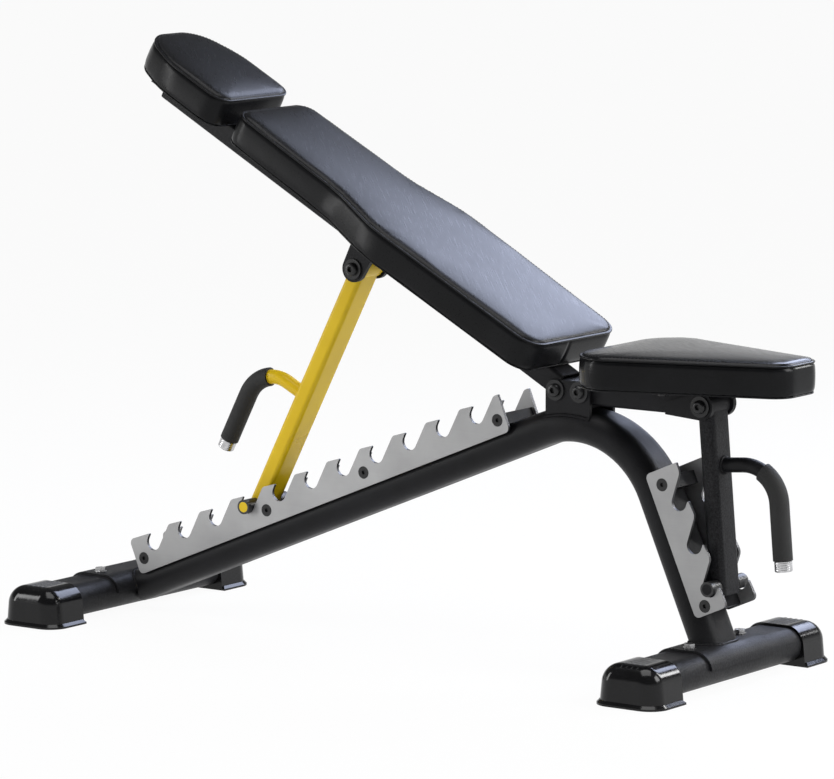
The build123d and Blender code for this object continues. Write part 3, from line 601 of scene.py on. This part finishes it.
# %% Pad forms
# Height above the board and inset from the outline
PAD_PROFILE = ((0, 5), (4, 2), (14, 1.2), (30, 1.0), (42, 1.8), (46, 2), (49, 3.4), (51.4, 7), (52.6, 14))


def pad_form(name, corners, base):
    """Closed form from a stack of outlines, in the pad's own millimetres."""
    bm = bmesh.new()
    rings = []
    for height, inset in PAD_PROFILE:
        face = outline_face(bm, corners, inset, base + height)
        rings.append(face.edges[:])
        if 0 < height < PAD_PROFILE[-1][0]:
            bmesh.ops.delete(bm, geom=[face], context="FACES_ONLY")
    for lower, upper in zip(rings, rings[1:]):
        bmesh.ops.bridge_loops(bm, edges=lower + upper)
    bmesh.ops.recalc_face_normals(bm, faces=bm.faces[:])
    bmesh.ops.transform(bm, matrix=to_metres, verts=bm.verts[:])
    return make_object(name, bm)


back_pad = pad_form("back_cushion", BACK_CORNERS, BACK_BASE)
head_pad = pad_form("head_cushion", HEAD_CORNERS, BACK_BASE)
seat_pad = pad_form("seat_cushion", SEAT_CORNERS, SEAT_BASE)
pads = ((back_pad, BACK_BASE), (head_pad, BACK_BASE), (seat_pad, SEAT_BASE))
print("pad forms:", [(piece.name, len(piece.data.polygons)) for piece, _ in pads])

# %% [markdown]
# ## Filling the pads
# A voxel remesh makes the skin even, and a cloth simulation with pressure and no gravity fills it. The
# board and the seam are pinned, as tacks and stitches hold them. Foam resists more the further it swells,
# so each move is eased towards a cap: the pad keeps the size of its board, and its crown has no flat step
# where the cap would start.

# %% Filling the pads
SEAM_HEIGHT, PIN_REACH = 46.0, 3.0
VOXEL, PRESSURE, FRAMES = 4.5 * MM, 4.0, 20
MOST_SWELL, FIRMNESS = 4.5, 9.0
SETTLING, SETTLE_ROUNDS = 0.5, 4


def baked(piece):
    """Swap a piece's mesh for its modified one and drop the modifiers."""
    shaped = piece.evaluated_get(bpy.context.evaluated_depsgraph_get())
    mesh = bpy.data.meshes.new_from_object(shaped)
    piece.modifiers.clear()
    old, piece.data = piece.data, mesh
    bpy.data.meshes.remove(old)


def pin_board_and_seam(piece, base):
    """Vertex group of the points that tacks and stitches hold."""
    pins = piece.vertex_groups.new(name="pinned")
    for vert in piece.data.vertices:
        height = vert.co.z / MM - base
        if height < PIN_REACH or abs(height - SEAM_HEIGHT) < PIN_REACH:
            pins.add([vert.index], 1.0, "REPLACE")


def swell(piece, base):
    """Fill the pad by pressure, then ease every move towards the cap."""
    rest = [vert.co.copy() for vert in piece.data.vertices]
    pin_board_and_seam(piece, base)
    cloth = piece.modifiers.new("fill", "CLOTH")
    cloth.settings.use_pressure = True
    cloth.settings.uniform_pressure_force = PRESSURE
    cloth.settings.vertex_group_mass = "pinned"
    cloth.settings.effector_weights.gravity = 0
    for frame_number in range(1, FRAMES + 1):
        bpy.context.scene.frame_set(frame_number)
    baked(piece)
    bpy.context.scene.frame_set(1)
    for vert, home in zip(piece.data.vertices, rest):
        moved = vert.co - home
        give = MOST_SWELL * (1 - math.exp(-moved.length / (FIRMNESS * MM)))
        vert.co = home + moved.normalized() * give * MM


def fill(piece, base):
    """Give a pad an even skin, swell it and round it once, still in its own place."""
    remesh = piece.modifiers.new("even_skin", "REMESH")
    remesh.mode = "VOXEL"
    remesh.voxel_size = VOXEL
    baked(piece)
    swell(piece, base)
    smooth = piece.modifiers.new("settle", "SMOOTH")
    smooth.factor, smooth.iterations = SETTLING, SETTLE_ROUNDS
    finer = piece.modifiers.new("round", "SUBSURF")
    finer.levels = finer.render_levels = 1
    baked(piece)
    print(piece.name, "skin:", len(piece.data.vertices), "points")


for piece, base in pads:
    fill(piece, base)

# %% [markdown]
# ## Cinching the seams
# Stitches pull the cover into a crease. On a pad that lies flat, the seam is a level line, so each point
# near that height is drawn in along its own normal, most on the line and less beside it. The side strip of
# the back pad is also joined at its lower end, which makes one upright crease beside the middle.

# %% Cinching the seams
CREASE_DEPTH, CREASE_WIDTH = 1.4, 3.4
JOIN_ACROSS, JOIN_REACH = 16.0, 12.0
LEVEL_NORMAL = 0.9


def cinch(piece, base, join=None):
    """Draw the skin in along the seam, and along an upright join at the end nearest the hinge."""
    verts = piece.data.vertices
    near_end = min(vert.co.x for vert in verts) / MM + JOIN_REACH
    inward = [-vert.normal for vert in verts]
    for vert, way in zip(verts, inward):
        point = vert.co / MM
        depth = math.exp(-(((point.z - base - SEAM_HEIGHT) / CREASE_WIDTH) ** 2))
        if join is not None and point.x < near_end and point.z < base + SEAM_HEIGHT:
            depth = max(depth, math.exp(-(((point.y - join) / CREASE_WIDTH) ** 2)))
        if abs(way.z) < LEVEL_NORMAL:
            vert.co += way * depth * CREASE_DEPTH * MM


cinch(back_pad, BACK_BASE, JOIN_ACROSS)
cinch(head_pad, BACK_BASE)
cinch(seat_pad, SEAT_BASE)
print("creased at", SEAM_HEIGHT, "mm above each board")

# %% [markdown]
# ## Welts and piping
# A narrow welt stands in each crease, and a thin piping hides the tacks at the board. Both are rings cut
# from the same outline, thickened and bevelled.

# %% Welts and piping
# Inset of the outer edge, width, height of the underside above the board and thickness
WELT, PIPING = (1.7, 6.0, SEAM_HEIGHT - 1.0, 2.8), (3.0, 6.0, 0.6, 2.4)
BEAD_ROUND, SHARP = 0.35, 1.0


def bead(bm, corners, base, shape):
    """Rounded ring along an outline: faces between it and its inset, thickened and bevelled."""
    inset, width, height, thick = shape
    face = outline_face(bm, corners, inset, base + height)
    ring = bmesh.ops.inset_individual(bm, faces=[face], thickness=width, use_even_offset=True)["faces"]
    bmesh.ops.delete(bm, geom=[face], context="FACES")
    raised = bmesh.ops.extrude_face_region(bm, geom=ring)["geom"]
    tops = [item for item in raised if isinstance(item, bmesh.types.BMVert)]
    bmesh.ops.translate(bm, vec=(0, 0, thick), verts=tops)
    rims = [edge for edge in bm.edges if edge.is_manifold and edge.calc_face_angle(0) > SHARP]
    bmesh.ops.bevel(
        bm, geom=rims, offset=thick * BEAD_ROUND, offset_type="OFFSET", affect="EDGES",
        segments=2, profile=0.5, material=-1,
    )
    bmesh.ops.recalc_face_normals(bm, faces=bm.faces[:])


print("welt:", WELT[1], "mm wide and", WELT[3], "mm thick; piping:", PIPING[1], "and", PIPING[3], "mm")

# %% [markdown]
# ## Stitches and covers
# A row of stitches runs just above the welt. A stitch is a small stretched ball, repeated at an even pitch
# and set on the nearest point of the cushion. With its trim made, each pad is carried to its place and
# handed to the body that it moves with.

# %% Stitches and covers
STITCH_PITCH, STITCH_LENGTH, STITCH_WIDTH = 5.5, 3.8, 0.9
STITCH_RISE, STITCH_INSET = 5.6, 7.0
STITCH_FACES = 20


def stitch_row(bm, corners, base, cushion):
    """Stitches along the roll of a pad, on the nearest point of its skin."""
    skin = BVHTree.FromObject(cushion, bpy.context.evaluated_depsgraph_get())
    path = outline_points(corners, STITCH_INSET, base + SEAM_HEIGHT + STITCH_RISE)
    for place, way in walk(path, STITCH_PITCH):
        spot, normal, _, _ = skin.find_nearest(place * MM)
        across = normal.cross(way).normalized()
        pose = Matrix((way, across, normal)).transposed().to_4x4()
        pose.translation = spot / MM
        size = Matrix.Diagonal((STITCH_LENGTH / 2, STITCH_WIDTH / 2, STITCH_WIDTH / 2, 1))
        bmesh.ops.create_icosphere(bm, subdivisions=1, radius=1, matrix=pose @ size)


def trim(name, place, make):
    """A trim piece made in a pad's own millimetres and carried to its place."""
    bm = bmesh.new()
    make(bm)
    bmesh.ops.transform(bm, matrix=place, verts=bm.verts[:])
    piece = make_object(name, bm)
    piece.data.polygons.foreach_set("use_smooth", [True] * len(piece.data.polygons))
    return piece


def upholster(name, cushion, corners, base, place, body, hide):
    """Dress one cushion with its trim, place it and hand it to its body."""
    welt = trim(f"{name}_welt", place, lambda bm: bead(bm, corners, base, WELT))
    piping = trim(f"{name}_piping", place, lambda bm: bead(bm, corners, base, PIPING))
    stitches = trim(f"{name}_stitches", place, lambda bm: stitch_row(bm, corners, base, cushion))
    cushion.data.transform(place @ to_metres.inverted())
    cushion.data.polygons.foreach_set("use_smooth", [True] * len(cushion.data.polygons))
    for piece, finish in ((cushion, hide), (welt, hide), (piping, hide), (stitches, thread)):
        piece.data.materials.clear()
        piece.data.materials.append(finish)
        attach(piece, body)
    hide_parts(f"{name}_pad")
    count = len(stitches.data.polygons) // STITCH_FACES
    print(name, "pad:", len(cushion.data.polygons), "faces,", count, "stitches")


upholster("back", back_pad, BACK_CORNERS, BACK_BASE, back_place, "back", back_hide)
upholster("head", head_pad, HEAD_CORNERS, BACK_BASE, back_place, "back", back_hide)
upholster("seat", seat_pad, SEAT_CORNERS, SEAT_BASE, seat_place, "seat", seat_hide)

# %% [markdown]
# ## Weld beads
# A weld follows the line where two solids meet. A ring is drawn round a tube well clear of the joint, and
# each of its points is cast along the tube until it meets the other solid, which finds that line on any
# shape. A curve through those points, with a round bevel whose radius ripples, is the bead, and it is made
# a mesh at the end.

# %% Weld beads
BEAD, RIPPLE, RIPPLE_STEP, RING_STEPS = 2.6, 0.25, 2.2, 80
ACROSS = Vector((0, 1, 0))


def oval_ring(centre, way, wide, deep):
    """Points round a flat oval that looks along a direction, from its underside round to it again."""
    over = ACROSS.cross(way)
    ring = []
    for step in range(RING_STEPS):
        turn = 2 * math.pi * step / RING_STEPS - math.pi / 2
        aside = math.copysign(wide - deep, math.cos(turn)) + deep * math.cos(turn)
        ring.append(centre + (ACROSS * aside + over * deep * math.sin(turn)) * MM)
    return ring


def weld(name, node, starts, way, closed, body, finish, size=BEAD, ripple=RIPPLE):
    """A rippled bead along the points where lines from the starts meet a solid."""
    solid = BVHTree.FromObject(nodes[node], bpy.context.evaluated_depsgraph_get())
    hits = [hit for hit in (solid.ray_cast(start, way)[0] for start in starts) if hit]
    route = bpy.data.curves.new(name, "CURVE")
    route.dimensions = "3D"
    route.bevel_depth, route.bevel_resolution = size * MM, 2
    route.use_fill_caps = True
    spline = route.splines.new("POLY")
    spline.use_cyclic_u = closed
    spline.points.add(len(hits) - 1)
    for index, (point, hit) in enumerate(zip(spline.points, hits)):
        point.co = (*hit, 1)
        point.radius = 1 + ripple * math.sin(RIPPLE_STEP * index)
    mesh = bpy.data.meshes.new_from_object(bpy.data.objects.new(name, route))
    mesh.polygons.foreach_set("use_smooth", [True] * len(mesh.polygons))
    mesh.materials.clear()
    mesh.materials.append(finish)
    piece = bpy.data.objects.new(name, mesh)
    bpy.context.scene.collection.objects.link(piece)
    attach(piece, body)
    print(name, "bead:", len(hits), "points on", node)


print("a bead has", RING_STEPS, "points round a tube and is", 2 * BEAD, "mm thick")

# %% [markdown]
# ## Welds of the frame
# The main tube is welded to the saddles of both feet, each handle to its strut, and the hinge plates to the
# crest of the tube. The places come from the solids' boxes and the joints.

# %% Welds of the frame
DOWN = Vector((0, 0, -1))
LEG = math.radians(66.4)
TUBE_HALF, TUBE_DEPTH_HALF, HANDLE_HALF = 40.0, 25.0, 11.0
SETBACK, HEAD_DROP, CLEAR = 9.6, 7.0, 150.0
HANDLE_HEIGHT = {"back": 191.0, "seat": 175.0}


def tube_weld(name, node, foot, way, closed):
    """Bead round an end of the main tube on its saddle."""
    ring = oval_ring(foot - way * CLEAR * MM, way, TUBE_HALF, TUBE_DEPTH_HALF)
    weld(name, node, ring, way, closed, "frame", charcoal)


def handle_weld(name, finish, side):
    """Bead round the root of a handle on its strut."""
    up = strut_way(name)
    out = ACROSS.cross(up) * side
    root = middle(f"{name}_strut_pin") + up * HANDLE_HEIGHT[name] * MM + out * 2 * TUBE_HALF * MM
    ring = oval_ring(root, -out, HANDLE_HALF, HANDLE_HALF)
    weld(f"{name}_handle_weld", f"{name}_strut_tube", ring, -out, True, f"{name}_strut", finish)


head_way = Vector((-math.cos(SLOPE), 0, -math.sin(SLOPE)))
seat_way = Vector((math.cos(LEG), 0, -math.sin(LEG)))
head_end = middle("head_foot_tube") + Vector((SETBACK, 0, -HEAD_DROP)) * MM
leg_end = middle("seat_foot_tube") + Vector((SETBACK, 0, 0)) * MM
tube_weld("head_weld", "head_foot_saddle", head_end, head_way, False)
tube_weld("leg_weld", "seat_foot_saddle", leg_end, seat_way, True)
handle_weld("back", yellow, -1)
handle_weld("seat", charcoal, 1)
low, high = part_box("hinge_plates")
for side, y in (("near", low.y), ("far", high.y)):
    line = [Vector((low.x + (high.x - low.x) * k / RING_STEPS, y, high.z)) for k in range(RING_STEPS + 1)]
    weld(f"hinge_weld_{side}", "main_tube", line, DOWN, False, "frame", charcoal)

# %% [markdown]
# ## Ribs on the foot caps
# The top of each cap is moulded with low ribs that run out to its rounded nose. They are smooth beads, cast
# down on the cap in the same way as a weld is cast along a tube.

# %% Ribs on the foot caps
RIB, RIB_PLACES, RIB_MARGIN, NOSE = 0.5, (-13.5, -4.5, 4.5, 13.5), 3.0, 16.0
for cap in ("head_foot_cap_near", "head_foot_cap_far", "seat_foot_cap_near", "seat_foot_cap_far"):
    low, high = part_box(cap)
    inner, nose = sorted((low.y, high.y), key=abs)
    outward = ACROSS * math.copysign(MM, nose)
    length = abs(nose - inner) / MM - RIB_MARGIN - NOSE
    for index, shift in enumerate(RIB_PLACES):
        start = Vector(((low.x + high.x) / 2 + shift * MM, inner, high.z + MM)) + outward * RIB_MARGIN
        line = [start + outward * length * k / RING_STEPS for k in range(RING_STEPS + 1)]
        weld(f"{cap}_rib_{index}", cap, line, DOWN, False, "frame", cap_gloss, RIB, 0.0)
